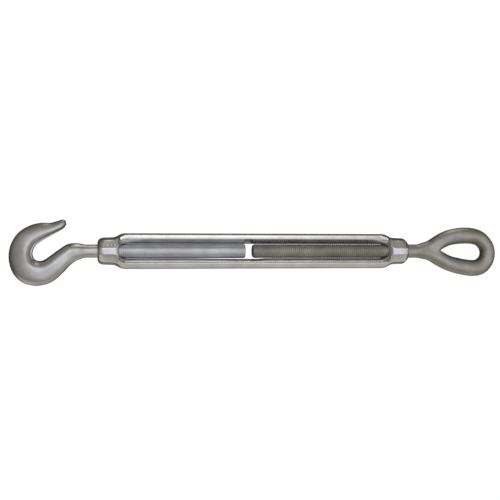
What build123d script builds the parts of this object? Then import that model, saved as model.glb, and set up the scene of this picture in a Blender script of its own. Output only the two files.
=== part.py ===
"""Hook-and-eye rigging turnbuckle, open forged body, 5/8-11 thread with 12 inch take-up.

Three pieces: the body (two tapped hubs joined by two rails), a hook end with a right-hand
thread and an eye end with a left-hand thread.

Frame: origin at the middle of the body on the thread axis.  X runs along the thread axis
from the hook (-X) to the eye (+X), Y lies in the plane of the rails towards the hook's tip,
and Z is up, square to that plane.  Millimetres.
"""
import os
from math import cos, pi, radians, sin, tan

from build123d import *

# Thread
THREAD_DIA = 15.875          # 5/8 inch, major diameter
THREAD_PITCH = 25.4 / 11     # 11 threads to the inch
THREAD_DEPTH = 1.42          # radial depth of the cut thread
FLANK_ANGLE = 30.0           # half angle of the thread, degrees
THREAD_CREST = 0.29          # flat on the crest, along the axis
THREAD_END_CHAMFER = 2.2     # chamfer on the inner end of each shank
TURNS_PER_RUN = 10           # whole turns swept in one piece of thread
FLANK_STEPS = 6              # steps along the spiral that a flank makes in section

# Body
WINDOW_LENGTH = 304.8        # clear opening between the hubs: 12 inch take-up
WINDOW_WIDTH = 17.1          # clear opening between the rails
WINDOW_CORNER = 8.5          # radius of the round ends of the opening
HUB_LENGTH = 24.2            # each tapped hub, along the axis
HUB_WIDTH = 30.5             # across the parting line, in Y
HUB_DEPTH = 30.0             # across the flats, in Z
HUB_FLAT = 6.4               # width of the flat on top of a hub
HUB_SHOULDER_IN = 3.0        # the hub's shoulder edge stands in from its side by this much
HUB_SHOULDER_HEIGHT = 8.6    # height of that edge above the parting line
RAIL_THICKNESS = 11.2        # each rail, in Y
RAIL_DEPTH = 16.5            # each rail, in Z
RAIL_CREST = 1.8             # flat along the top of a rail
SHOULDER_REACH = 5.6         # a hub's shoulder runs this far along the rails
RAIL_LAP = 0.6               # each rail runs this far into the shoulders
BORE_CLEARANCE = 0.1         # radial running clearance of a shank in its hub
BORE_LEAD_IN = 1.2           # chamfer at the mouth of each tapped hole
DRILL_START = 1.0            # a drilled hole is cut from this far outside its face
DRILL_PAST = 11.0            # and to this far past the hub, into the window

# Hook end
HOOK_NECK_DIA = 14.4         # plain neck between the thread and the hook
HOOK_NECK_LENGTH = 13.4      # neck showing outside the hub
HOOK_SHANK_SHORT = 12.1      # shank end stops this far before the middle of the body
HOOK_DEPTH = 20.0            # greatest thickness of the hook, in Z

# Eye end
EYE_NECK_DIA = 15.6          # plain neck between the thread and the eye
EYE_NECK_LENGTH = 13.4       # neck showing outside the hub
EYE_SHANK_PAST = 4.7         # shank end reaches this far past the middle of the body
EYE_BAR_DIA = 18.8           # bar of the eye
EYE_OPENING_LENGTH = 46.6    # opening, along the axis
EYE_OPENING_WIDTH = 18.8     # opening, across the axis
EYE_SHOULDER = 30.4          # from the end of the neck to the crotch of the opening
EYE_SAG = 2.6                # the nose hangs this far to -Y of the thread axis
EYE_RISE = 1.0               # the limbs' roots stand this far to +Y of it
EYE_LEVEL = 0.62             # share of the run where the middle line is back on the axis

# Shanks
THREAD_RUNOUT = 2.0          # plain neck inside each hub before the thread starts
CHAMFER_SPARE = 0.3          # the cutter for an end chamfer overruns the thread by this much

# Hub outlines at its outer face.  Each row: place in from the face, then how far the side, the
# top and the shoulder edge stand in from the full hub, and how much lower that edge is.
HUB_END_ROWS = [
    (0.0, 5.6, 5.6, 4.6, 3.0),
    (2.6, 2.0, 2.0, 1.6, 1.0),
    (6.4, 0.3, 0.0, 0.0, 0.0),
]

# Hub outlines where it spreads into the rails.  Each row: place out from the window's end, then
# how far the side stands out, the top is lower, the top flat and the shoulder edge stand out
# from the full hub, and how much lower that edge is.
HUB_SPREAD_ROWS = [
    (6.5, 0.0, 0.0, 0.0, 0.2, 0.0),
    (3.0, 1.3, 2.0, 1.0, 1.6, 0.4),
    (-0.8, 3.2, 4.6, 4.0, 3.4, 2.2),
]

BODY_LENGTH = WINDOW_LENGTH + 2 * HUB_LENGTH
BORE_DIA = THREAD_DIA + 2 * BORE_CLEARANCE
RAIL_OUT = WINDOW_WIDTH / 2 + RAIL_THICKNESS

# Hook sections, from the neck round the bowl to the tip.  Each row: place along X from the
# end of the neck (away from the body) and in Y, angle of the section's line from +Y (degrees,
# turning away from the body), width of the section in its own line, depth as a share of
# HOOK_DEPTH.
HOOK_SECTIONS = [
    (6.0, 0.1, 5.0, 18.6, 0.86),
    (13.4, -1.2, 27.0, 20.2, 0.92),
    (21.6, -6.6, 37.0, 21.0, 0.96),
    (30.2, -14.4, 32.0, 23.2, 1.00),
    (39.2, -21.4, 17.0, 25.6, 1.00),
    (49.2, -24.2, -7.0, 27.2, 1.00),
    (59.2, -21.9, -29.0, 28.2, 1.00),
    (65.8, -14.9, -52.0, 27.4, 1.00),
    (68.3, -4.6, -82.0, 25.4, 1.00),
    (66.4, 5.4, -105.0, 24.2, 0.98),
    (61.0, 13.6, -128.0, 22.6, 0.93),
    (51.8, 19.6, -149.0, 20.4, 0.86),
    (42.6, 23.0, -155.0, 17.0, 0.78),
    (34.2, 25.6, -153.0, 12.9, 0.70),
    (26.5, 28.8, -155.0, 11.0, 0.60),
    (22.4, 30.7, -160.0, 8.2, 0.45),
    (20.3, 31.3, -165.0, 4.0, 0.22),
]

# Eye sections, from the neck along one limb to the nose.  Each row: share of the run from the
# end of the neck to the middle of the bar at the nose, share of the limb's greatest distance
# from the eye's middle line, angle of the section's line from +Y (degrees, turning away from
# the body), and width as a share of EYE_BAR_DIA.
EYE_SECTIONS = [
    (0.092, 0.085, -14.0, 0.86),
    (0.185, 0.240, -26.0, 0.91),
    (0.312, 0.545, -24.0, 0.985),
    (0.433, 0.795, -17.0, 0.99),
    (0.557, 0.925, -11.0, 1.00),
    (0.680, 0.990, -4.0, 1.00),
    (0.790, 0.995, 4.0, 1.00),
    (0.892, 0.863, 30.0, 1.01),
    (0.971, 0.497, 60.0, 1.02),
    (0.997, 0.172, 80.0, 1.03),
    (1.000, 0.000, 90.0, 1.03),
]


def mirrored(points):
    """Points of one quarter outline, taken round all four quarters in order."""
    right = points + [(y, -z) for y, z in reversed(points) if z != 0]
    left = [(-y, z) for y, z in reversed(right)]
    return right + left


def yoke_section(place, half_width, half_depth, flat, shoulder_width, shoulder_height):
    """Faceted closed outline across the axis, at one place along it."""
    points = [(flat, half_depth), (shoulder_width, shoulder_height), (half_width, 0.0)]
    outline = Plane(origin=(place, 0, 0), x_dir=(0, 1, 0), z_dir=(1, 0, 0))
    return outline * Polygon(*mirrored(points), align=None)


def hub_sections():
    """Outlines from a hub's outer face to where the rails begin, on the +X side."""
    face = BODY_LENGTH / 2
    window = WINDOW_LENGTH / 2
    side = HUB_WIDTH / 2
    top = HUB_DEPTH / 2
    flat = HUB_FLAT / 2
    edge = side - HUB_SHOULDER_IN
    high = HUB_SHOULDER_HEIGHT
    sections = []
    for back, side_in, top_in, edge_in, edge_down in HUB_END_ROWS:
        sections.append(yoke_section(face - back, side - side_in, top - top_in, flat,
                                     edge - edge_in, high - edge_down))
    for out, side_out, top_down, flat_out, edge_out, edge_down in HUB_SPREAD_ROWS:
        sections.append(yoke_section(window + out, side + side_out, top - top_down,
                                     flat + flat_out, edge + edge_out, high - edge_down))
    rail_flat = RAIL_OUT - RAIL_THICKNESS / 2 + RAIL_CREST / 2
    rail_top = RAIL_DEPTH / 2
    sections.append(yoke_section(window - SHOULDER_REACH, RAIL_OUT, rail_top, rail_flat,
                                 (rail_flat + RAIL_OUT) / 2, rail_top / 2))
    return sections


def rail(side):
    """One rail, a drafted bar with its crest along the middle; side is +1 or -1 in Y."""
    inner = WINDOW_WIDTH / 2
    crest = inner + RAIL_THICKNESS / 2
    top = RAIL_DEPTH / 2
    points = [
        (side * inner, 0.0),
        (side * (crest - RAIL_CREST / 2), top),
        (side * (crest + RAIL_CREST / 2), top),
        (side * RAIL_OUT, 0.0),
        (side * (crest + RAIL_CREST / 2), -top),
        (side * (crest - RAIL_CREST / 2), -top),
    ]
    length = WINDOW_LENGTH - 2 * (SHOULDER_REACH - RAIL_LAP)
    start = Plane(origin=(-length / 2, 0, 0), x_dir=(0, 1, 0), z_dir=(1, 0, 0))
    return extrude(start * Polygon(*points, align=None), length, dir=(1, 0, 0))


def window_cut():
    """The open space between the rails, with walls that lean out as the rails do."""
    inner = WINDOW_WIDTH / 2
    top = RAIL_DEPTH / 2
    lean = (RAIL_THICKNESS - RAIL_CREST) / 2 / top
    reach = HUB_DEPTH
    spread = inner + lean * reach
    points = [
        (inner, 0.0), (spread, reach), (-spread, reach),
        (-inner, 0.0), (-spread, -reach), (spread, -reach),
    ]
    length = WINDOW_LENGTH - 2 * WINDOW_CORNER
    start = Plane(origin=(-length / 2, 0, 0), x_dir=(0, 1, 0), z_dir=(1, 0, 0))
    leaning = extrude(start * Polygon(*points, align=None), length, dir=(1, 0, 0))
    slot = Plane.XY.offset(-reach) * RectangleRounded(WINDOW_LENGTH, WINDOW_WIDTH, WINDOW_CORNER)
    return leaning + extrude(slot, 2 * reach)


def bore(side):
    """The tapped hole of one hub, plain at its running size, chamfered at the mouth."""
    face = side * BODY_LENGTH / 2
    along = Plane(origin=(face, 0, 0), z_dir=(-side, 0, 0))
    depth = DRILL_START + HUB_LENGTH + DRILL_PAST
    hole = extrude(along.offset(-DRILL_START) * Circle(BORE_DIA / 2), depth)
    mouth = Cone(BORE_DIA / 2 + BORE_LEAD_IN, BORE_DIA / 2, BORE_LEAD_IN,
                 align=(Align.CENTER, Align.CENTER, Align.MIN))
    return hole + along * mouth


def make_body():
    """The forged body: two hubs and two rails in one piece."""
    hub = loft(hub_sections(), ruled=True)
    shell = hub + mirror(hub, about=Plane.YZ)
    shell = shell - window_cut()
    shell = shell + rail(1) + rail(-1)
    return shell - bore(1) - bore(-1)


def thread_section():
    """Section of the threaded rod square to its axis: crest, flank, root, flank."""
    outer = THREAD_DIA / 2
    inner = outer - THREAD_DEPTH
    crest = pi * THREAD_CREST / THREAD_PITCH
    flank = 2 * pi * THREAD_DEPTH * tan(radians(FLANK_ANGLE)) / THREAD_PITCH

    def at(radius, angle):
        return (radius * cos(angle), radius * sin(angle))

    def spiral(sign):
        return Spline(*[
            at(outer - THREAD_DEPTH * step / FLANK_STEPS,
               sign * (crest + flank * step / FLANK_STEPS))
            for step in range(FLANK_STEPS + 1)
        ])

    top = ThreePointArc(at(outer, -crest), at(outer, 0), at(outer, crest))
    root = ThreePointArc(at(inner, crest + flank), at(inner, pi), at(inner, -crest - flank))
    return Face(Wire([top.edge(), spiral(1).edge(), root.edge(), spiral(-1).edge()]))


def threaded_rod(length, hand):
    """Threaded rod along +Z from the origin; hand is +1 for right, -1 for left."""
    section = thread_section()
    run = TURNS_PER_RUN * THREAD_PITCH
    turn = hand * 360.0 / THREAD_PITCH
    runs = []
    start = 0.0
    while start < length:
        step = min(run, length - start)
        piece = Solid.extrude_linear_with_rotation(section, (0, 0, 0), (0, 0, step), turn * step)
        runs.append(Pos(0, 0, start) * Rot(0, 0, turn * start) * piece)
        start += step
    return Part() + runs - end_chamfer(length)


def end_chamfer(length):
    """The ring of metal turned off the end of a threaded rod."""
    rise = (Align.CENTER, Align.CENTER, Align.MIN)
    outer = THREAD_DIA / 2
    height = THREAD_END_CHAMFER + CHAMFER_SPARE
    ring = Cylinder(outer + 2 * CHAMFER_SPARE, height, align=rise)
    kept = Cone(outer + CHAMFER_SPARE, outer - THREAD_END_CHAMFER, height, align=rise)
    return Pos(0, 0, length - THREAD_END_CHAMFER) * (ring - kept)


def shank(side, neck_dia, neck_length, inner_end, hand):
    """Plain neck and threaded shank; side is the hub's side, inner_end the shank's end in X."""
    hub_face = side * BODY_LENGTH / 2
    thread_start = hub_face - side * THREAD_RUNOUT
    neck_end = hub_face + side * neck_length
    inward = Plane(origin=(thread_start, 0, 0), x_dir=(0, 1, 0), z_dir=(-side, 0, 0))
    rod = inward * threaded_rod(abs(inner_end - thread_start), hand)
    neck_from = Plane(origin=(neck_end, 0, 0), x_dir=(0, 1, 0), z_dir=(-side, 0, 0))
    neck = neck_from * Cylinder(neck_dia / 2, neck_length + THREAD_RUNOUT,
                                align=(Align.CENTER, Align.CENTER, Align.MIN))
    return rod + neck


def cross_section(along, across, angle, side, width, depth):
    """An oval section square to XY, its width line leaning from +Y by the angle, outwards."""
    line = Vector(side * sin(radians(angle)), cos(radians(angle)), 0)
    facing = Plane(origin=(along, across, 0), x_dir=line, z_dir=line.cross(Vector(0, 0, 1)))
    return facing * Ellipse(width / 2, depth / 2)


def make_hook_end():
    """Shank with right-hand thread, plain neck and forged hook, in one piece."""
    neck_end = -BODY_LENGTH / 2 - HOOK_NECK_LENGTH
    sections = [cross_section(neck_end, 0, 0, -1, HOOK_NECK_DIA, HOOK_NECK_DIA)]
    for along, across, angle, width, depth in HOOK_SECTIONS:
        place = neck_end - along
        sections.append(cross_section(place, across, angle, -1, width, depth * HOOK_DEPTH))
    stem = shank(-1, HOOK_NECK_DIA, HOOK_NECK_LENGTH, -HOOK_SHANK_SHORT, 1)
    return stem + loft(sections)


def eye_middle(share):
    """How far to +Y the eye's middle line stands, at a share of the run: up, then down."""
    if share < EYE_LEVEL:
        return EYE_RISE * sin(pi * share / EYE_LEVEL)
    return -EYE_SAG * (share - EYE_LEVEL) / (1 - EYE_LEVEL)


def eye_limb(sign):
    """One limb of the eye, from the neck to the middle of the nose; sign is +1 or -1 in Y."""
    neck_end = BODY_LENGTH / 2 + EYE_NECK_LENGTH
    run = EYE_SHOULDER + EYE_OPENING_LENGTH + EYE_BAR_DIA / 2
    spread = (EYE_OPENING_WIDTH + EYE_BAR_DIA) / 2
    sections = [cross_section(neck_end, 0, 0, 1, EYE_NECK_DIA, EYE_NECK_DIA)]
    for along, across, angle, width in EYE_SECTIONS:
        size = width * EYE_BAR_DIA
        middle = eye_middle(along)
        sections.append(cross_section(neck_end + along * run, middle + sign * across * spread,
                                      sign * angle, 1, size, size))
    return loft(sections)


def make_eye_end():
    """Shank with left-hand thread, plain neck and forged eye, in one piece."""
    stem = shank(1, EYE_NECK_DIA, EYE_NECK_LENGTH, -EYE_SHANK_PAST, -1)
    return stem + (eye_limb(1) + eye_limb(-1))


if __name__ == "__main__":
    os.makedirs("parts", exist_ok=True)
    for name, piece in (
        ("body", make_body()),
        ("hook_end", make_hook_end()),
        ("eye_end", make_eye_end()),
    ):
        export_step(piece, f"parts/{name}.step")
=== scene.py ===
"""Finished meshes and zinc finishes for an open-body hook-and-eye turnbuckle."""
import math

import bmesh
import bpy
from mathutils import Matrix, Vector


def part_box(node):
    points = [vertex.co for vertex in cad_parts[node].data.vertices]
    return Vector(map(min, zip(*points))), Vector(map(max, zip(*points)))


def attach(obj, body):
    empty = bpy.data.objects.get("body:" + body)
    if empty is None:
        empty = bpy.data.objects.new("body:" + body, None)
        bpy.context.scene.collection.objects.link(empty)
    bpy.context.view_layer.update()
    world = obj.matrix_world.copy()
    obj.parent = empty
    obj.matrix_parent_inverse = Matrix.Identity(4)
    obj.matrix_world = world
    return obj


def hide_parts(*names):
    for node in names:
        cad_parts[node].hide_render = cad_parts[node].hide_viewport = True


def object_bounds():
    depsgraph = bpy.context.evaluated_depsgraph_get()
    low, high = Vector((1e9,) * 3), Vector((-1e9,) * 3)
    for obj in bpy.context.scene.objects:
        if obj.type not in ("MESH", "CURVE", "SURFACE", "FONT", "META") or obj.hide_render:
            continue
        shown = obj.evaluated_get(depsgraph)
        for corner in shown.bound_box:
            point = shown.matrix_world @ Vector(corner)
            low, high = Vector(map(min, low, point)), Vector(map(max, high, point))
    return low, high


bl_info = {
    "name": "Hook and Eye Turnbuckle",
    "version": (1, 0, 0),
    "blender": (4, 5, 0),
    "location": "3D View > Sidebar > Turnbuckle",
    "description": "Forged turnbuckle body, hook, eye and screw threads with a galvanised finish",
    "category": "Add Mesh",
}

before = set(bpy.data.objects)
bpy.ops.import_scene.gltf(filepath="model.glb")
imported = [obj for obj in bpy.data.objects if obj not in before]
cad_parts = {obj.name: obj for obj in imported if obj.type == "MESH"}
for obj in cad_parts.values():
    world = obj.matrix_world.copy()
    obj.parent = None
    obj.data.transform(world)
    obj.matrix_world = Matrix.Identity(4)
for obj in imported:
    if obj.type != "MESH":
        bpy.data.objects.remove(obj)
CAD_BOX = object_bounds()
BODY_END = float(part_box("body")[1][0])
HOOK_SHANK_END = float(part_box("hook_end")[1][0])
EYE_SHANK_END = float(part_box("eye_end")[0][0])

MM = 0.001
WELD = 0.02 * MM                 # vertices nearer than this are joined
FINE_WELD = 0.01 * MM            # the same where points lie closer together
ON_PLANE = 0.001 * MM            # a point this near a cutting plane lies on it


# ---------------------------------------------------------------- settings

def length(name, text, default):
    """A length setting in metres."""
    return bpy.props.FloatProperty(name=name, description=text, default=default,
                                   min=0.0, unit="LENGTH", subtype="DISTANCE")


def colour(name, text, default):
    """A linear colour setting."""
    return bpy.props.FloatVectorProperty(name=name, description=text, default=default,
                                         size=3, min=0.0, max=1.0, subtype="COLOR")


class TurnbuckleBodySizes(bpy.types.PropertyGroup):
    """Sizes of the forged body."""
    half_length: length("Half length", "From the middle to a hub's outer face",
                        BODY_END)
    window_half: length("Half window", "From the middle to a hub's inner face", 152.4 * MM)
    window_width: length("Window width", "Clear space between the rails", 16.2 * MM)
    rail_half_depth: length("Rail half depth", "Height of a rail's crest", 8.2 * MM)
    crest_in: length("Crest", "From the axis to the inner edge of the crest", 13.4 * MM)
    wear: length("Worn seam", "How far the lower rail's seam is worn beside the hook's shank",
                 0.7 * MM)
    mark_height: length("Mark height", "How far the forging marks stand up", 0.6 * MM)
    bore_radius: length("Bore radius", "Radius of a hub's hole", 8.03 * MM)


class TurnbuckleThreadSizes(bpy.types.PropertyGroup):
    """Sizes of the screw threads."""
    radius: length("Radius", "Outside radius of the thread", 7.93 * MM)
    pitch: length("Pitch", "Advance in one turn", 25.4 / 11 * MM)
    depth: length("Depth", "Radial depth", 0.7 * MM)
    filled_depth: length("Filled depth", "Depth left where zinc fills the hook's thread",
                         0.2 * MM)
    hook_chamfer: length("Hook chamfer", "Chamfer left on the hook shank's worn end",
                         0.9 * MM)
    chamfer: length("Chamfer", "Chamfer on the shank's end", 2.2 * MM)
    worn: length("Worn end", "How far the hook's shank is worn back at its end", 1.3 * MM)


class TurnbuckleHookSizes(bpy.types.PropertyGroup):
    """Sizes of the hook end."""
    neck_end: length("Neck end", "From the middle of the body to the end of the neck", 190.0 * MM)
    half_depth: length("Half depth", "Half the hook's greatest thickness", 10.0 * MM)


class TurnbuckleEyeSizes(bpy.types.PropertyGroup):
    """Sizes of the eye end."""
    neck_end: length("Neck end", "From the middle of the body to the end of the neck", 190.0 * MM)
    bar_radius: length("Bar radius", "Radius of the eye's bar", 9.4 * MM)
    spread: length("Spread", "From the axis to the middle of a limb", 18.8 * MM)
    run: length("Run", "From the end of the neck to the middle of the nose", 86.4 * MM)
    crotch: length("Crotch", "From the end of the neck to the opening", 30.4 * MM)
    rise: length("Rise", "How far the limbs' roots stand to +Y of the axis", 1.0 * MM)
    sag: length("Sag", "How far the nose hangs to -Y of the axis", 2.6 * MM)


class TurnbuckleFinish(bpy.types.PropertyGroup):
    """Colours of the galvanised finish."""
    body_light: colour("Body, light", "Brighter zinc on the body", (0.68, 0.68, 0.69))
    body_dark: colour("Body, dark", "Duller zinc on the body", (0.57, 0.565, 0.56))
    hook_light: colour("Hook, light", "Brighter zinc on the hook", (0.54, 0.54, 0.545))
    hook_dark: colour("Hook, dark", "Duller zinc on the hook", (0.37, 0.36, 0.34))
    shank_light: colour("Hook shank, light", "Brighter zinc on the hook's thread",
                        (0.55, 0.56, 0.585))
    shank_dark: colour("Hook shank, dark", "Duller zinc on the hook's thread",
                       (0.42, 0.42, 0.435))
    eye_light: colour("Eye, light", "Brighter zinc on the eye", (0.41, 0.395, 0.37))
    eye_dark: colour("Eye, dark", "Duller zinc on the eye", (0.29, 0.275, 0.25))


class TurnbuckleStage(bpy.types.PropertyGroup):
    """Floor, lights and camera."""
    floor: colour("Floor", "Floor colour", (0.12, 0.12, 0.12))
    distance: length("Distance", "From the camera to the middle of the body", 1.0)
    yaw: bpy.props.FloatProperty(name="Yaw", description="Camera turned towards the hook",
                                 default=math.radians(9.71), unit="ROTATION", subtype="ANGLE")
    lens: bpy.props.FloatProperty(name="Lens", description="Focal length in millimetres",
                                  default=63.8, min=1.0)


# ---------------------------------------------------------------- mesh helpers

def first_ring(bm, points):
    """A closed ring of vertices at the given points, in order."""
    made = bmesh.ops.create_circle(bm, cap_ends=False, segments=len(points), radius=1.0)
    verts = list(made["verts"])
    for vert, point in zip(verts, points):
        vert.co = point
    return verts


def ring_edges(verts):
    """The edges between neighbours of a ring."""
    count = len(verts)
    edges = []
    for index, vert in enumerate(verts):
        other = verts[(index + 1) % count]
        edges.append(next(edge for edge in vert.link_edges if edge.other_vert(vert) is other))
    return edges


def next_ring(bm, verts, points):
    """Extrudes a ring and puts the new one at the given points."""
    made = bmesh.ops.extrude_edge_only(bm, edges=ring_edges(verts))
    fresh = {item for item in made["geom"] if isinstance(item, bmesh.types.BMVert)}
    ordered = [
        next(edge.other_vert(vert) for edge in vert.link_edges if edge.other_vert(vert) in fresh)
        for vert in verts
    ]
    for vert, point in zip(ordered, points):
        vert.co = point
    return ordered


def cap(bm, verts):
    """Closes a ring with a face."""
    bmesh.ops.contextual_create(bm, geom=ring_edges(verts))


def sweep(bm, rings):
    """Joins rings of points into a skin and returns the first and last rings."""
    start = first_ring(bm, rings[0])
    last = start
    for points in rings[1:]:
        last = next_ring(bm, last, points)
    return start, last


def curve_at(rows, place):
    """Smooth value between rows of numbers; place runs from 0 to the last row's index."""
    index = min(int(place), len(rows) - 2)
    t = place - index
    before = rows[max(index - 1, 0)]
    after = rows[min(index + 2, len(rows) - 1)]
    here = rows[index]
    there = rows[index + 1]
    values = []
    for a, b, c, d in zip(before, here, there, after):
        slope_in = (c - a) / 2
        slope_out = (d - b) / 2
        values.append((2 * t**3 - 3 * t**2 + 1) * b + (t**3 - 2 * t**2 + t) * slope_in
                      + (3 * t**2 - 2 * t**3) * c + (t**3 - t**2) * slope_out)
    return values


def smooth_step(low, high, value):
    """0 below low, 1 above high, smooth between."""
    t = min(max((value - low) / (high - low), 0.0), 1.0)
    return t * t * (3 - 2 * t)


def finish_piece(bm, name, material, body, node):
    """Turns a bmesh into a finished piece of the turnbuckle."""
    bmesh.ops.remove_doubles(bm, verts=bm.verts, dist=WELD)
    bmesh.ops.recalc_face_normals(bm, faces=bm.faces)
    mesh = bpy.data.meshes.new(name)
    bm.to_mesh(mesh)
    bm.free()
    mesh.polygons.foreach_set("use_smooth", [True] * len(mesh.polygons))
    piece = bpy.data.objects.new(name, mesh)
    bpy.context.scene.collection.objects.link(piece)
    mesh.materials.append(material)
    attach(piece, body)
    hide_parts(node)


# ---------------------------------------------------------------- zinc

class Nodes:
    """Short way to add and join shader nodes."""

    def __init__(self, name):
        self.material = bpy.data.materials.new(name)
        self.material.use_nodes = True
        self.tree = self.material.node_tree
        self.shader = self.tree.nodes["Principled BSDF"]
        self.coords = self.tree.nodes.new("ShaderNodeTexCoord").outputs["Object"]

    def add(self, kind, **settings):
        node = self.tree.nodes.new(kind)
        for key, value in settings.items():
            setattr(node, key, value)
        return node

    def join(self, output, socket):
        self.tree.links.new(output, socket)

    def noise(self, scale, detail, roughness, stretch=None):
        node = self.add("ShaderNodeTexNoise")
        node.inputs["Scale"].default_value = scale
        node.inputs["Detail"].default_value = detail
        node.inputs["Roughness"].default_value = roughness
        source = self.coords
        if stretch:
            mapping = self.add("ShaderNodeMapping")
            mapping.inputs["Scale"].default_value = stretch
            self.join(source, mapping.inputs["Vector"])
            source = mapping.outputs["Vector"]
        self.join(source, node.inputs["Vector"])
        return node.outputs["Fac"]

    def ramp(self, factor, stops):
        node = self.add("ShaderNodeValToRGB")
        elements = node.color_ramp.elements
        while len(elements) < len(stops):
            elements.new(0.5)
        for element, (place, value) in zip(elements, stops):
            element.position = place
            element.color = (*value, 1.0)
        self.join(factor, node.inputs["Fac"])
        return node.outputs["Color"]

    def span(self, factor, low, high, out_low, out_high):
        node = self.add("ShaderNodeMapRange")
        for key, value in (("From Min", low), ("From Max", high),
                           ("To Min", out_low), ("To Max", out_high)):
            node.inputs[key].default_value = value
        self.join(factor, node.inputs["Value"])
        return node.outputs["Result"]

    def bump(self, height, strength, distance, before=None):
        node = self.add("ShaderNodeBump")
        node.inputs["Strength"].default_value = strength
        node.inputs["Distance"].default_value = distance
        self.join(height, node.inputs["Height"])
        if before:
            self.join(before, node.inputs["Normal"])
        return node.outputs["Normal"]


# Noise scales are in waves to the metre
MOTTLE_SCALE = 55.0
PATCH_SCALE = 130.0
FLOW_SCALE = 90.0
FLOW_STRETCH = (0.35, 1.0, 1.0)
FLOW_HEIGHT = 0.6 * MM
GRAIN_SCALE = 900.0
GRAIN_HEIGHT = 0.12 * MM

# Each finish: roughness where smooth and where rough, strength of the grain and of the flow marks
BODY_FINISH = (0.18, 0.25, 0.03, 0.04)
HOOK_FINISH = (0.25, 0.37, 0.25, 0.3)
EYE_FINISH = (0.36, 0.50, 0.4, 0.35)
HOOK_THREAD_FINISH = (0.30, 0.40, 0.06, 0.06)
EYE_THREAD_FINISH = (0.40, 0.55, 0.4, 0.2)


def zinc(name, light, dark, finish):
    """Hot-dip zinc: mottled grey metal, soft flow marks and a fine grain."""
    smooth, rough, grain, flow_marks = finish
    nodes = Nodes(name)
    shader = nodes.shader
    shader.inputs["Metallic"].default_value = 1.0
    mottle = nodes.noise(MOTTLE_SCALE, 4.0, 0.5)
    nodes.join(nodes.ramp(mottle, [(0.32, dark), (0.68, light)]), shader.inputs["Base Color"])
    patches = nodes.noise(PATCH_SCALE, 4.0, 0.6)
    nodes.join(nodes.span(patches, 0.3, 0.7, smooth, rough), shader.inputs["Roughness"])
    flow_noise = nodes.noise(FLOW_SCALE, 2.0, 0.4, FLOW_STRETCH)
    flow = nodes.bump(flow_noise, flow_marks, FLOW_HEIGHT)
    fine = nodes.bump(nodes.noise(GRAIN_SCALE, 3.0, 0.6), grain, GRAIN_HEIGHT, flow)
    nodes.join(fine, shader.inputs["Normal"])
    return nodes.material


# ---------------------------------------------------------------- body

END_LEAN = 0.16                  # the window's ends open by this share of the height
WALL_CURVE = 2.5                 # power of the curve that opens the rails' inner walls
CREST_FLAT = 0.6 * MM            # least flat along a rail's crest
CREST_CLEAR = 1.5 * MM           # the crest stays this far inside the shoulder edge
CORNER_ROUND = 1.0 * MM          # rounding of the outline's edges
CORNER_STEPS = 5
SIDE_BREAK = (1.7 * MM, 4.3 * MM)  # in from the side and up, where the slope turns steeper
SIDE_FOOT = (0.35 * MM, 1.4 * MM)  # and where the side becomes nearly upright
SEAM = 0.5 * MM                  # half height of the forging seam
SEAM_RISE = 0.2 * MM             # how far the seam stands out
WALL_TEST = 0.02 * MM            # a point this near the inner wall belongs to it
WALL_ENDS = (6.0 * MM, 24.0 * MM)  # the straight wall fades out this far from the window's end
WEAR_START = (-85.0 * MM, -15.0 * MM)  # along the axis, where the wear grows to its full depth
WEAR_END = (12.0 * MM, 0.0)      # and where it fades out again
WEAR_MARGIN = 0.4 * MM           # the wear stops this far inside the crest


def window_wall(place, height, sizes):
    """Half width of the open window at a place along the axis and a height off the middle."""
    reach_out = sizes.crest_in - sizes.window_width / 2
    lean = reach_out * abs(height / sizes.rail_half_depth)**WALL_CURVE
    half_width = sizes.window_width / 2 + lean
    centre = sizes.window_half - sizes.window_width / 2
    if place <= centre:
        return half_width
    reach = sizes.window_width / 2 + END_LEAN * abs(height)
    return half_width * math.sqrt(max(1.0 - ((place - centre) / reach)**2, 0.0))


# Hub and shoulder outline rows, from the outer face inwards: place from the inner face of the
# hub along the axis, half width, half depth, half width of the top flat, shoulder width and
# shoulder height.  Millimetres.
SHOULDER_ROWS = [
    (24.2, 9.4, 9.6, 2.9, 7.4, 5.4),
    (23.7, 11.3, 11.5, 3.1, 9.0, 6.4),
    (22.5, 12.9, 13.1, 3.2, 10.4, 7.4),
    (20.6, 14.2, 14.25, 3.3, 11.5, 8.2),
    (18.0, 14.85, 14.88, 3.3, 12.1, 8.5),
    (13.6, 15.0, 14.97, 3.3, 12.25, 8.65),
    (9.4, 15.15, 14.97, 3.3, 12.3, 8.7),
    (6.2, 15.4, 14.95, 3.4, 12.6, 8.6),
    (4.2, 16.0, 14.7, 3.8, 13.2, 8.4),
    (2.6, 16.9, 13.6, 5.2, 14.0, 8.0),
    (0.6, 18.0, 11.6, 8.2, 15.2, 7.2),
    (-2.0, 19.1, 9.6, 11.4, 16.2, 6.4),
    (-5.4, 19.65, 8.5, 13.3, 16.6, 6.1),
    (-9.0, 19.7, 8.2, 14.1, 16.6, 6.0),
]
SHOULDER_RINGS = 66
WEB_POINTS = 7
BORE_POINTS = 14
RAIL_STEPS = 30
# Length and width of each raised mark, in millimetres
MARK_SIZES = [(2.6, 2.0), (1.6, 2.6), (2.8, 1.6), (2.0, 2.4)]
MARK_START = 5.6 * MM            # from the window's end to the first mark
MARK_STEP = 4.0 * MM             # from one mark to the next
MARK_PLACE = (6.2 * MM, 12.9 * MM)  # middle of a mark, across and up, on the sloping facet
MARK_BEVEL = 0.2 * MM
# Facet that carries the marks: from the top flat's edge to the shoulder, across and down
FACET_RUN = 9.0
FACET_DROP = 6.27


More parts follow.
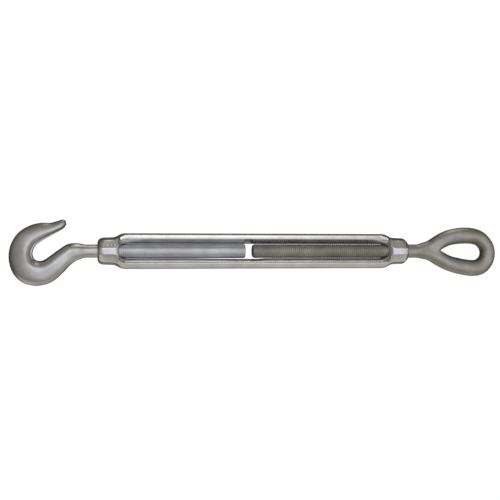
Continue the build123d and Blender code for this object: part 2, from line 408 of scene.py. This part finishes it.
def rounded_corners(points, radius, steps):
    """Points along a polyline with its inner corners rounded."""
    result = [Vector(points[0])]
    for before, here, after in zip(points, points[1:], points[2:]):
        corner = Vector(here)
        back = Vector(before) - corner
        ahead = Vector(after) - corner
        cut = min(radius, 0.45 * back.length, 0.45 * ahead.length)
        start = corner + back.normalized() * cut
        end = corner + ahead.normalized() * cut
        for step in range(steps + 1):
            t = step / steps
            result.append((1 - t)**2 * start + 2 * t * (1 - t) * corner + t**2 * end)
    result.append(Vector(points[-1]))
    return result


def body_loop(place, row, sizes):
    """Closed loop round one side (+Y) of the body at a place along the axis."""
    half_width, half_depth, flat, shoulder_width, shoulder_height = [v * MM for v in row]
    inner = window_wall(place, half_depth, sizes)
    top_in = min(inner, shoulder_width - CREST_CLEAR)
    top_out = max(flat, top_in + CREST_FLAT)
    outline = rounded_corners([
        (top_in, half_depth),
        (top_out, half_depth),
        (shoulder_width, shoulder_height),
        (half_width - SIDE_BREAK[0], SIDE_BREAK[1]),
        (half_width - SIDE_FOOT[0], SIDE_FOOT[1]),
    ], CORNER_ROUND, CORNER_STEPS)
    outline.append(Vector((half_width - SEAM_RISE, SEAM)))
    outline.append(Vector((half_width, SEAM / 2)))
    upper = [Vector((place, p.x, p.y)) for p in outline]
    lower = [Vector((place, p.y, -p.z)) for p in reversed(upper)]
    bore = sizes.bore_radius
    heights = [half_depth + (bore - half_depth) * (i + 1) / (WEB_POINTS + 1)
               for i in range(WEB_POINTS)]
    walls = [(window_wall(place, z, sizes), z) for z in heights]
    arc = []
    for step in range(BORE_POINTS + 1):
        angle = math.pi * step / BORE_POINTS
        z = bore * math.cos(angle)
        arc.append((max(bore * math.sin(angle), window_wall(place, z, sizes)), z))
    inside = walls + arc + [(y, -z) for y, z in reversed(walls)]
    ring = upper + lower + [Vector((place, y, z)) for y, z in reversed(inside)]
    return ring


def body_places(sizes):
    """Places of the loops along half of the body, closer together round the window's end."""
    reach = SHOULDER_ROWS[0][0]
    inward = -SHOULDER_ROWS[-1][0]
    count = SHOULDER_RINGS
    places = []
    for step in range(count + 1):
        t = step / count
        places.append(sizes.window_half + (reach - (reach + inward) * t) * MM)
    return places


def shoulder_row(offset):
    """Outline values at an offset (mm) from the hub's inner face."""
    rows = SHOULDER_ROWS
    index = 0
    while index < len(rows) - 2 and offset < rows[index + 1][0]:
        index += 1
    span = rows[index][0] - rows[index + 1][0]
    t = (rows[index][0] - offset) / span
    return curve_at([row[1:] for row in rows], index + min(max(t, 0.0), 1.0))


class TURNBUCKLE_OT_body(bpy.types.Operator):
    """Build the forged body: two hubs and two rails round an open window"""
    bl_idname = "turnbuckle.body"
    bl_label = "Body"

    def execute(self, context):
        sizes = context.scene.turnbuckle_body
        finish = context.scene.turnbuckle_finish
        bm = bmesh.new()
        rings = []
        for place in body_places(sizes):
            row = shoulder_row((place - sizes.window_half) / MM)
            rings.append(body_loop(place, row, sizes))
        last_row = shoulder_row(SHOULDER_ROWS[-1][0])
        for step in range(RAIL_STEPS - 1, -1, -1):
            rings.append(body_loop(body_places(sizes)[-1] * step / RAIL_STEPS, last_row, sizes))
        start = sweep(bm, rings)[0]
        cap(bm, start)
        middle = [face for face in bm.faces
                  if all(abs(vert.co.y) < ON_PLANE for vert in face.verts)]
        bmesh.ops.delete(bm, geom=middle, context="FACES")
        for axis in ("Y", "X"):
            bmesh.ops.mirror(bm, geom=bm.verts[:] + bm.edges[:] + bm.faces[:],
                             axis=axis, merge_dist=FINE_WELD)
        self.wear_seam(bm, sizes)
        self.add_marks(bm, sizes)
        material = zinc("body_zinc", finish.body_light, finish.body_dark, BODY_FINISH)
        finish_piece(bm, "body_forging", material, "body", "body")
        return {"FINISHED"}

    def wear_seam(self, bm, sizes):
        """Wears back the lower rail's inner seam beside the hook's shank, and flattens the
        upper rail's inner wall."""
        limit = sizes.crest_in - WEAR_MARGIN
        reach_out = sizes.crest_in - sizes.window_width / 2
        for vert in bm.verts:
            height = min(abs(vert.co.z) / sizes.rail_half_depth, 1.0)
            wall = window_wall(0.0, vert.co.z, sizes)
            if abs(vert.co.y - wall) < WALL_TEST:
                inside = smooth_step(sizes.window_half - WALL_ENDS[0],
                                     sizes.window_half - WALL_ENDS[1], abs(vert.co.x))
                vert.co.y += reach_out * (height - height**WALL_CURVE) * inside
            if -limit < vert.co.y < 0.0:
                along = smooth_step(*WEAR_START, vert.co.x) * smooth_step(*WEAR_END, vert.co.x)
                share = smooth_step(limit, sizes.window_width / 2, -vert.co.y)
                vert.co.y -= sizes.wear * along * share

    def add_marks(self, bm, sizes):
        """Plain raised pads on the hook hub's upper facets, where a forging carries its marks."""
        slope = math.atan2(FACET_DROP, FACET_RUN)
        for index, (size_x, size_y) in enumerate(MARK_SIZES):
            place = -sizes.window_half - MARK_START - MARK_STEP * index
            for turn in (0.0, math.pi):
                matrix = (Matrix.Rotation(turn, 4, "X")
                          @ Matrix.Translation((place, *MARK_PLACE))
                          @ Matrix.Rotation(-slope, 4, "X")
                          @ Matrix.Diagonal((size_x * MM, size_y * MM,
                                             2 * sizes.mark_height, 1.0)))
                made = bmesh.ops.create_cube(bm, size=1.0, matrix=matrix)
                edges = list({edge for vert in made["verts"] for edge in vert.link_edges})
                bmesh.ops.bevel(bm, geom=edges, offset=MARK_BEVEL, segments=2, profile=0.5,
                                affect="EDGES")


# ---------------------------------------------------------------- threads

TURN_STEPS = 36
CHAMFER_SLOPE = 0.75             # how fast a chamfer narrows the shank
THREAD_RUNOUT = 2.0 * MM         # the thread starts this far inside a hub's outer face


def thread_profile(sizes, depth):
    """Outline of one turn of thread, (along, radius), root to root, with a soft crest."""
    pitch = sizes.pitch
    root = sizes.radius - depth
    crest = sizes.radius
    return [
        (0.0, root),
        (0.08 * pitch, root + 0.06 * depth),
        (0.30 * pitch, crest - 0.10 * depth),
        (0.38 * pitch, crest),
        (0.62 * pitch, crest),
        (0.70 * pitch, crest - 0.10 * depth),
        (0.92 * pitch, root + 0.06 * depth),
        (1.0 * pitch, root),
    ]


def build_thread(sizes, start, end, hand, depth, chamfer):
    """A threaded rod along the X axis from start to end; hand is +1 right, -1 left."""
    direction = 1 if end > start else -1
    turns = math.ceil(abs(end - start) / sizes.pitch) + 2
    bm = bmesh.new()
    verts = [bm.verts.new((direction * (along - sizes.pitch) + start, 0.0, radius))
             for along, radius in thread_profile(sizes, depth)]
    edges = [bm.edges.new(pair) for pair in zip(verts, verts[1:])]
    bmesh.ops.spin(bm, geom=verts + edges, cent=(0, 0, 0), axis=(1, 0, 0),
                   angle=2 * math.pi * hand * direction,
                   dvec=(direction * sizes.pitch / TURN_STEPS, 0, 0),
                   steps=TURN_STEPS, use_duplicate=False)
    one_turn = bm.verts[:] + bm.edges[:] + bm.faces[:]
    for turn in range(1, turns):
        copy = bmesh.ops.duplicate(bm, geom=one_turn)["geom"]
        copied = [item for item in copy if isinstance(item, bmesh.types.BMVert)]
        bmesh.ops.translate(bm, verts=copied, vec=(direction * sizes.pitch * turn, 0, 0))
    bmesh.ops.remove_doubles(bm, verts=bm.verts, dist=FINE_WELD)
    for place, normal in ((start, -direction), (end, direction)):
        geometry = bm.verts[:] + bm.edges[:] + bm.faces[:]
        bmesh.ops.bisect_plane(bm, geom=geometry, dist=ON_PLANE, plane_co=(place, 0, 0),
                               plane_no=(normal, 0, 0), clear_outer=True)
    rim = [edge for edge in bm.edges if edge.is_boundary]
    bmesh.ops.holes_fill(bm, edges=rim, sides=0)
    slope_start = end - direction * chamfer
    for vert in bm.verts:
        past = (vert.co.x - slope_start) * direction
        radius = math.hypot(vert.co.y, vert.co.z)
        limit = sizes.radius - max(past, 0.0) * CHAMFER_SLOPE
        if past > 0.0 and radius > limit:
            vert.co.y *= limit / radius
            vert.co.z *= limit / radius
    return bm


class TURNBUCKLE_OT_threads(bpy.types.Operator):
    """Build the right-hand and left-hand threaded shanks"""
    bl_idname = "turnbuckle.threads"
    bl_label = "Threaded shanks"

    def execute(self, context):
        sizes = context.scene.turnbuckle_thread
        finish = context.scene.turnbuckle_finish
        hidden = context.scene.turnbuckle_body.half_length - THREAD_RUNOUT
        hook = build_thread(sizes, -hidden, HOOK_SHANK_END - sizes.worn, 1,
                            sizes.filled_depth, sizes.hook_chamfer)
        hook_zinc = zinc("hook_thread_zinc", finish.shank_light, finish.shank_dark,
                         HOOK_THREAD_FINISH)
        finish_piece(hook, "hook_thread", hook_zinc, "hook_end", "hook_end")
        eye = build_thread(sizes, hidden, EYE_SHANK_END, -1, sizes.depth, sizes.chamfer)
        eye_zinc = zinc("eye_thread_zinc", finish.eye_light, finish.eye_dark,
                        EYE_THREAD_FINISH)
        finish_piece(eye, "eye_thread", eye_zinc, "eye_end", "eye_end")
        return {"FINISHED"}


# ---------------------------------------------------------------- hook

# Hook sections from the neck round the bowl to the tip: place past the neck's end, place across
# the axis, lean of the section in degrees, width, depth as a share of the full depth, and how
# far the section is the hook's own ridged shape (0 is a plain oval).  Millimetres.
HOOK_ROWS = [
    (-15.4, 0.0, 0.0, 14.4, 0.72, 0.0),
    (-8.0, 0.0, 0.0, 14.4, 0.72, 0.0),
    (0.0, 0.0, 0.0, 14.5, 0.725, 0.0),
    (6.0, -0.2, 6.0, 17.5, 0.83, 0.0),
    (13.4, -1.2, 27.0, 20.2, 0.92, 0.1),
    (21.6, -6.6, 37.0, 21.0, 0.96, 0.0),
    (30.2, -14.4, 32.0, 23.2, 1.0, 0.05),
    (39.2, -21.4, 17.0, 25.6, 1.0, 0.1),
    (49.2, -24.2, -7.0, 27.2, 1.0, 0.22),
    (59.2, -21.9, -29.0, 28.2, 1.0, 0.5),
    (65.8, -14.9, -52.0, 27.4, 1.0, 0.8),
    (68.3, -4.6, -82.0, 25.4, 1.0, 1.0),
    (66.4, 5.4, -105.0, 24.2, 0.98, 1.0),
    (61.0, 13.6, -128.0, 22.6, 0.93, 1.0),
    (51.8, 19.6, -149.0, 20.4, 0.86, 1.0),
    (42.6, 23.0, -155.0, 17.0, 0.78, 1.0),
    (34.2, 25.2, -153.0, 12.4, 0.70, 0.9),
    (26.5, 28.3, -155.0, 10.4, 0.60, 0.7),
    (22.4, 30.7, -160.0, 8.2, 0.45, 0.4),
    (20.3, 31.3, -165.0, 4.0, 0.22, 0.0),
]
HOOK_POINTS = 64
RIDGE_PLACE = 0.29               # the ridge, as a share of the width from the inner edge
LAND_HEIGHT = 0.50               # height of the narrow land inside the ridge
LAND_ROUND = 0.06                # share of the climb that the land's edge rounds off
LAND_END = 0.22                  # share of the climb where the land ends
CLIMB_CURVE = 1.4
FALL = 0.56                      # how much of the height the outer slope loses
FALL_CURVE = 1.45
BACK_CURVE = 7                   # power that rounds the hook's back
RINGS_PER_ROW = 5


def ridge_height(across, ridge):
    """Height of the hook's section at a share of its width, from -1 inner to 1 outer."""
    oval = math.sqrt(max(1.0 - across**2, 0.0))
    u = (across + 1) / 2
    if u < RIDGE_PLACE:
        climb = u / RIDGE_PLACE
        land = LAND_HEIGHT * min(climb / LAND_ROUND, 1.0)**0.5
        rise = max(climb - LAND_END, 0.0) / (1.0 - LAND_END)
        forged = land + (1.0 - land) * (1.0 - (1.0 - rise)**CLIMB_CURVE)
    else:
        fall = (u - RIDGE_PLACE) / (1 - RIDGE_PLACE)
        forged = (1.0 - FALL * fall**FALL_CURVE) * math.sqrt(max(1.0 - fall**BACK_CURVE, 0.0))
    return oval + (forged - oval) * ridge


def ridged_section(count, ridge):
    """Half-unit section outline with its ridge near the inner edge of the hook."""
    points = []
    for index in range(count):
        angle = 2 * math.pi * index / count
        across = math.cos(angle)
        height = ridge_height(max(min(across, 1.0), -1.0), ridge)
        points.append((across, math.copysign(height, math.sin(angle))))
    return points


def hook_ring(row, sizes):
    """Points of one hook section."""
    along, across, lean, width, depth, ridge = row
    angle = math.radians(lean)
    line = Vector((-math.sin(angle), math.cos(angle), 0.0))
    centre = Vector((-sizes.neck_end - along * MM, across * MM, 0.0))
    return [
        centre - line * (x * width / 2 * MM) + Vector((0, 0, z * depth * sizes.half_depth))
        for x, z in ridged_section(HOOK_POINTS, ridge)
    ]


class TURNBUCKLE_OT_hook(bpy.types.Operator):
    """Build the forged hook and its plain neck"""
    bl_idname = "turnbuckle.hook"
    bl_label = "Hook"

    def execute(self, context):
        sizes = context.scene.turnbuckle_hook
        finish = context.scene.turnbuckle_finish
        bm = bmesh.new()
        total = (len(HOOK_ROWS) - 1) * RINGS_PER_ROW
        rings = [hook_ring(curve_at(HOOK_ROWS, step / RINGS_PER_ROW), sizes)
                 for step in range(total + 1)]
        start, last = sweep(bm, rings)
        cap(bm, start)
        cap(bm, last)
        material = zinc("hook_zinc", finish.hook_light, finish.hook_dark, HOOK_FINISH)
        finish_piece(bm, "hook_forging", material, "hook_end", "hook_end")
        return {"FINISHED"}


# ---------------------------------------------------------------- eye

# Eye sections from the neck along one limb to the nose: share of the run, share of the spread,
# lean of the section in degrees, width as a share of the bar.
EYE_ROWS = [
    (-0.172, 0.000, 0.0, 0.83),
    (-0.090, 0.000, 0.0, 0.83),
    (0.000, 0.000, 0.0, 0.835),
    (0.092, 0.085, -14.0, 0.86),
    (0.185, 0.200, -26.0, 0.88),
    (0.312, 0.515, -24.0, 0.93),
    (0.433, 0.775, -17.0, 0.945),
    (0.557, 0.915, -11.0, 0.985),
    (0.680, 0.990, -4.0, 1.00),
    (0.790, 0.995, 4.0, 1.00),
    (0.892, 0.863, 30.0, 0.98),
    (0.971, 0.497, 60.0, 0.95),
    (0.997, 0.172, 80.0, 0.94),
    (1.000, 0.000, 90.0, 0.94),
    (0.997, -0.172, 100.0, 0.94),
]
EYE_LEVEL = 0.62                 # share of the run where the middle line is back on the axis
EYE_POINTS = 48
WEB_PAST = 2.0 * MM              # the web fades out from this far past the crotch
WEB_BEFORE = 10.0 * MM           # and is full from this far before it
WEB_DISH = 0.06                  # how far its middle is dished, as a share of the bar
WEB_EDGE = 0.1 * MM              # points this near a limb's middle line stay
WEB_HEIGHT = 0.5 * MM            # and so do points this near the middle plane


def eye_ring(row, sizes):
    """Points of one section of the eye's bar."""
    along, across, lean, width = row
    angle = math.radians(lean)
    line = Vector((math.sin(angle), math.cos(angle), 0.0))
    centre = Vector((sizes.neck_end + along * sizes.run, across * sizes.spread, 0.0))
    radius = width * sizes.bar_radius
    points = []
    for index in range(EYE_POINTS):
        turn = 2 * math.pi * index / EYE_POINTS
        points.append(centre + line * (radius * math.cos(turn))
                      + Vector((0, 0, radius * math.sin(turn))))
    return points


class TURNBUCKLE_OT_eye(bpy.types.Operator):
    """Build the forged eye and its plain neck"""
    bl_idname = "turnbuckle.eye"
    bl_label = "Eye"

    def execute(self, context):
        sizes = context.scene.turnbuckle_eye
        finish = context.scene.turnbuckle_finish
        bm = bmesh.new()
        total = (len(EYE_ROWS) - 2) * RINGS_PER_ROW
        rings = [eye_ring(curve_at(EYE_ROWS, step / RINGS_PER_ROW), sizes)
                 for step in range(total + 1)]
        start = sweep(bm, rings)[0]
        cap(bm, start)
        geometry = bm.verts[:] + bm.edges[:] + bm.faces[:]
        bmesh.ops.bisect_plane(bm, geom=geometry, dist=FINE_WELD, plane_co=(0, 0, 0),
                               plane_no=(0, -1, 0), clear_outer=True)
        self.fill_web(bm, sizes)
        bmesh.ops.mirror(bm, geom=bm.verts[:] + bm.edges[:] + bm.faces[:],
                         axis="Y", merge_dist=WELD)
        self.tilt(bm, sizes)
        material = zinc("eye_zinc", finish.eye_light, finish.eye_dark, EYE_FINISH)
        finish_piece(bm, "eye_forging", material, "eye_end", "eye_end")
        return {"FINISHED"}

    def tilt(self, bm, sizes):
        """Lets the eye's middle line rise a little past the neck and sag at the nose."""
        for vert in bm.verts:
            place = max((vert.co.x - sizes.neck_end) / sizes.run, 0.0)
            if place < EYE_LEVEL:
                vert.co.y += sizes.rise * math.sin(math.pi * place / EYE_LEVEL)
            else:
                past = min(place, 1.0) - EYE_LEVEL
                vert.co.y -= sizes.sag * past / (1.0 - EYE_LEVEL)

    def fill_web(self, bm, sizes):
        """Raises the groove between the limbs into a solid web before the opening."""
        crotch = sizes.neck_end + sizes.crotch
        for vert in bm.verts:
            before = smooth_step(crotch + WEB_PAST, crotch - WEB_BEFORE, vert.co.x)
            centre = self.limb_middle(vert.co.x, sizes)
            between = vert.co.y < centre - WEB_EDGE and abs(vert.co.z) > WEB_HEIGHT
            if before > 0.0 and between:
                dish = 1.0 - WEB_DISH + WEB_DISH * (vert.co.y / centre)**2
                level = math.copysign(self.limb_height(vert.co.x, sizes) * dish, vert.co.z)
                if abs(vert.co.z) < abs(level):
                    vert.co.z += (level - vert.co.z) * before

    def limb_middle(self, place, sizes):
        """Distance of a limb's middle line from the axis, at a place along it."""
        return self.limb_value(place, sizes, 1) * sizes.spread

    def limb_height(self, place, sizes):
        """Half thickness of a limb at a place along the axis."""
        return self.limb_value(place, sizes, 3) * sizes.bar_radius

    def limb_value(self, place, sizes, column):
        """A value from EYE_ROWS at a place along the axis."""
        run = (place - sizes.neck_end) / sizes.run
        for before, after in zip(EYE_ROWS, EYE_ROWS[1:]):
            if before[0] <= run <= after[0]:
                t = (run - before[0]) / (after[0] - before[0])
                return before[column] + (after[column] - before[column]) * t
        return EYE_ROWS[0][column]


# ---------------------------------------------------------------- stage

def add_light(name, place, target, size, energy, tint):
    """A rectangular soft light aimed at a point."""
    data = bpy.data.lights.new(name, "AREA")
    data.shape = "RECTANGLE"
    data.size, data.size_y = size
    data.energy = energy
    data.color = tint
    lamp = bpy.data.objects.new(name, data)
    bpy.context.scene.collection.objects.link(lamp)
    direction = Vector(target) - Vector(place)
    lamp.matrix_world = (Matrix.Translation(place)
                         @ direction.to_track_quat("-Z", "Y").to_matrix().to_4x4())


def ramp_node(tree, source, stops):
    """A colour ramp read from a value between -1 and 1."""
    span = tree.nodes.new("ShaderNodeMapRange")
    span.inputs["From Min"].default_value = -1.0
    span.inputs["From Max"].default_value = 1.0
    tree.links.new(source, span.inputs["Value"])
    ramp = tree.nodes.new("ShaderNodeValToRGB")
    elements = ramp.color_ramp.elements
    while len(elements) < len(stops):
        elements.new(0.5)
    for element, (place, value) in zip(elements, stops):
        element.position = (place + 1) / 2
        element.color = (*value, 1.0)
    tree.links.new(span.outputs["Result"], ramp.inputs["Fac"])
    return ramp.outputs["Color"]


def mix_node(tree, kind, first, second):
    """Mixes two colours in full."""
    node = tree.nodes.new("ShaderNodeMix")
    node.data_type = "RGBA"
    node.blend_type = kind
    node.inputs["Factor"].default_value = 1.0
    tree.links.new(first, node.inputs[6])
    tree.links.new(second, node.inputs[7])
    return node.outputs[2]


def lobe_node(tree, coords, direction, stops):
    """A colour read from how near the view is to a direction, 1 being straight at it."""
    dot = tree.nodes.new("ShaderNodeVectorMath")
    dot.operation = "DOT_PRODUCT"
    dot.inputs[1].default_value = Vector(direction).normalized()
    tree.links.new(coords, dot.inputs[0])
    return ramp_node(tree, dot.outputs["Value"], stops)


WORLD_STRENGTH = 1.45
FLOOR_GAP = 0.1 * MM             # the floor lies this far below the lowest point
FLOOR_SIZE = 4.0
FLOOR_GLOW = 0.97
KEY_PLACE = (-0.1, 0.62, 1.55)
KEY_SIZE = (1.6, 0.9)
KEY_POWER = 2.5
KEY_TINT = (0.96, 0.98, 1.0)
LENS_SHIFT = (-0.0128, 0.0022)   # share of the frame that the lens is shifted across and up
SENSOR_WIDTH = 36.0
VIEW_REACH = 20.0


def studio_world():
    """Dim warm room with a pale ceiling, a long sheet beyond +Y and patches on -Y and +X."""
    world = bpy.data.worlds.new("studio")
    world.use_nodes = True
    tree = world.node_tree
    background = tree.nodes["Background"]
    coords = tree.nodes.new("ShaderNodeTexCoord").outputs["Generated"]
    split = tree.nodes.new("ShaderNodeSeparateXYZ")
    tree.links.new(coords, split.inputs["Vector"])
    room = lobe_node(tree, coords, (0.0, 0.15, 0.99), [
        (-1.0, (0.05, 0.043, 0.034)),
        (-0.1, (0.075, 0.066, 0.054)),
        (0.35, (0.19, 0.175, 0.15)),
        (0.75, (0.29, 0.285, 0.275)),
        (0.93, (0.48, 0.49, 0.51)),
        (1.0, (0.58, 0.60, 0.63)),
    ])
    sheet = ramp_node(tree, split.outputs["Y"], [
        (0.0, (0.0, 0.0, 0.0)),
        (0.55, (0.0, 0.0, 0.0)),
        (0.82, (0.95, 0.94, 0.93)),
        (1.0, (1.15, 1.145, 1.13)),
    ])
    sheet_height = ramp_node(tree, split.outputs["Z"], [
        (-0.60, (0.06, 0.06, 0.06)),
        (-0.42, (0.10, 0.10, 0.10)),
        (-0.27, (1.0, 1.0, 1.0)),
        (0.12, (1.0, 1.0, 1.0)),
        (0.28, (0.1, 0.1, 0.1)),
        (0.40, (0.0, 0.0, 0.0)),
    ])
    sheet_length = ramp_node(tree, split.outputs["X"], [
        (-0.09, (0.0, 0.0, 0.0)),
        (0.0, (1.0, 1.0, 1.0)),
        (0.12, (1.0, 1.0, 1.0)),
        (0.30, (0.65, 0.65, 0.65)),
        (0.37, (0.0, 0.0, 0.0)),
    ])
    patch = lobe_node(tree, coords, (0.33, -0.45, 0.83), [
        (0.80, (0.0, 0.0, 0.0)),
        (0.96, (0.34, 0.34, 0.35)),
    ])
    end = lobe_node(tree, coords, (0.90, 0.0, 0.43), [
        (0.78, (0.0, 0.0, 0.0)),
        (0.95, (0.26, 0.26, 0.265)),
    ])
    side = ramp_node(tree, split.outputs["Y"], [
        (-0.75, (0.36, 0.355, 0.34)),
        (-0.45, (0.0, 0.0, 0.0)),
    ])
    side_height = ramp_node(tree, split.outputs["Z"], [
        (-0.80, (0.0, 0.0, 0.0)),
        (-0.65, (1.0, 1.0, 1.0)),
        (0.25, (1.0, 1.0, 1.0)),
        (0.42, (0.0, 0.0, 0.0)),
    ])
    side = mix_node(tree, "MULTIPLY", side, side_height)
    strip = mix_node(tree, "MULTIPLY", mix_node(tree, "MULTIPLY", sheet, sheet_height),
                     sheet_length)
    light = mix_node(tree, "ADD", mix_node(tree, "ADD", room, strip),
                     mix_node(tree, "ADD", mix_node(tree, "ADD", patch, side), end))
    tree.links.new(light, background.inputs["Color"])
    background.inputs["Strength"].default_value = WORLD_STRENGTH
    bpy.context.scene.world = world


class TURNBUCKLE_OT_stage(bpy.types.Operator):
    """Set the pale floor, the soft studio lights and the camera"""
    bl_idname = "turnbuckle.stage"
    bl_label = "Stage"

    def execute(self, context):
        settings = context.scene.turnbuckle_stage
        floor_level = float(CAD_BOX[0][2]) - FLOOR_GAP
        bm = bmesh.new()
        bmesh.ops.create_grid(bm, x_segments=1, y_segments=1, size=FLOOR_SIZE,
                              matrix=Matrix.Translation((0, 0, floor_level)))
        mesh = bpy.data.meshes.new("floor")
        bm.to_mesh(mesh)
        bm.free()
        floor = bpy.data.objects.new("floor", mesh)
        context.scene.collection.objects.link(floor)
        nodes = Nodes("floor_white")
        nodes.shader.inputs["Base Color"].default_value = (*settings.floor, 1.0)
        nodes.shader.inputs["Roughness"].default_value = 0.9
        nodes.shader.inputs["Specular IOR Level"].default_value = 0.0
        nodes.shader.inputs["Emission Color"].default_value = (1.0, 1.0, 1.0, 1.0)
        nodes.shader.inputs["Emission Strength"].default_value = FLOOR_GLOW
        mesh.materials.append(nodes.material)
        floor.visible_glossy = False
        studio_world()
        add_light("key_soft", KEY_PLACE, (0, 0, 0), KEY_SIZE, KEY_POWER, KEY_TINT)
        self.add_camera(context, settings)
        context.scene.view_settings.view_transform = "Standard"
        return {"FINISHED"}

    def add_camera(self, context, settings):
        """Looks down on the turnbuckle, turned a little towards the hook."""
        data = bpy.data.cameras.new("camera")
        data.lens = settings.lens
        data.sensor_width = SENSOR_WIDTH
        data.shift_x, data.shift_y = LENS_SHIFT
        data.clip_end = VIEW_REACH
        camera = bpy.data.objects.new("camera", data)
        context.scene.collection.objects.link(camera)
        yaw = settings.yaw
        back = Vector((-math.sin(yaw), 0.0, math.cos(yaw)))
        up = Vector((0.0, 1.0, 0.0))
        right = up.cross(back)
        turn = Matrix((right, up, back)).transposed().to_4x4()
        camera.matrix_world = Matrix.Translation(back * settings.distance) @ turn
        context.scene.camera = camera


# ---------------------------------------------------------------- add-on

class TURNBUCKLE_PT_panel(bpy.types.Panel):
    """The turnbuckle's sizes, colours and pieces"""
    bl_idname = "TURNBUCKLE_PT_panel"
    bl_label = "Turnbuckle"
    bl_space_type = "VIEW_3D"
    bl_region_type = "UI"
    bl_category = "Turnbuckle"

    def draw(self, context):
        layout = self.layout
        for operator in OPERATORS:
            layout.operator(operator.bl_idname)
        for name in GROUPS:
            group = getattr(context.scene, name)
            box = layout.box()
            for key in group.bl_rna.properties.keys():
                if key not in ("rna_type", "name"):
                    box.prop(group, key)


GROUPS = {
    "turnbuckle_body": TurnbuckleBodySizes,
    "turnbuckle_thread": TurnbuckleThreadSizes,
    "turnbuckle_hook": TurnbuckleHookSizes,
    "turnbuckle_eye": TurnbuckleEyeSizes,
    "turnbuckle_finish": TurnbuckleFinish,
    "turnbuckle_stage": TurnbuckleStage,
}
OPERATORS = (
    TURNBUCKLE_OT_body,
    TURNBUCKLE_OT_threads,
    TURNBUCKLE_OT_hook,
    TURNBUCKLE_OT_eye,
    TURNBUCKLE_OT_stage,
)


def register():
    """Registers the settings, operators and panel."""
    for name, group in GROUPS.items():
        bpy.utils.register_class(group)
        setattr(bpy.types.Scene, name, bpy.props.PointerProperty(type=group))
    for operator in OPERATORS:
        bpy.utils.register_class(operator)
    bpy.utils.register_class(TURNBUCKLE_PT_panel)


def unregister():
    """Removes the panel, operators and settings."""
    bpy.utils.unregister_class(TURNBUCKLE_PT_panel)
    for operator in reversed(OPERATORS):
        bpy.utils.unregister_class(operator)
    for name, group in GROUPS.items():
        delattr(bpy.types.Scene, name)
        bpy.utils.unregister_class(group)


def main():
    """Builds every piece and the stage."""
    register()
    bpy.ops.turnbuckle.body()
    bpy.ops.turnbuckle.threads()
    bpy.ops.turnbuckle.hook()
    bpy.ops.turnbuckle.eye()
    bpy.ops.turnbuckle.stage()


if __name__ == "__main__":
    main()
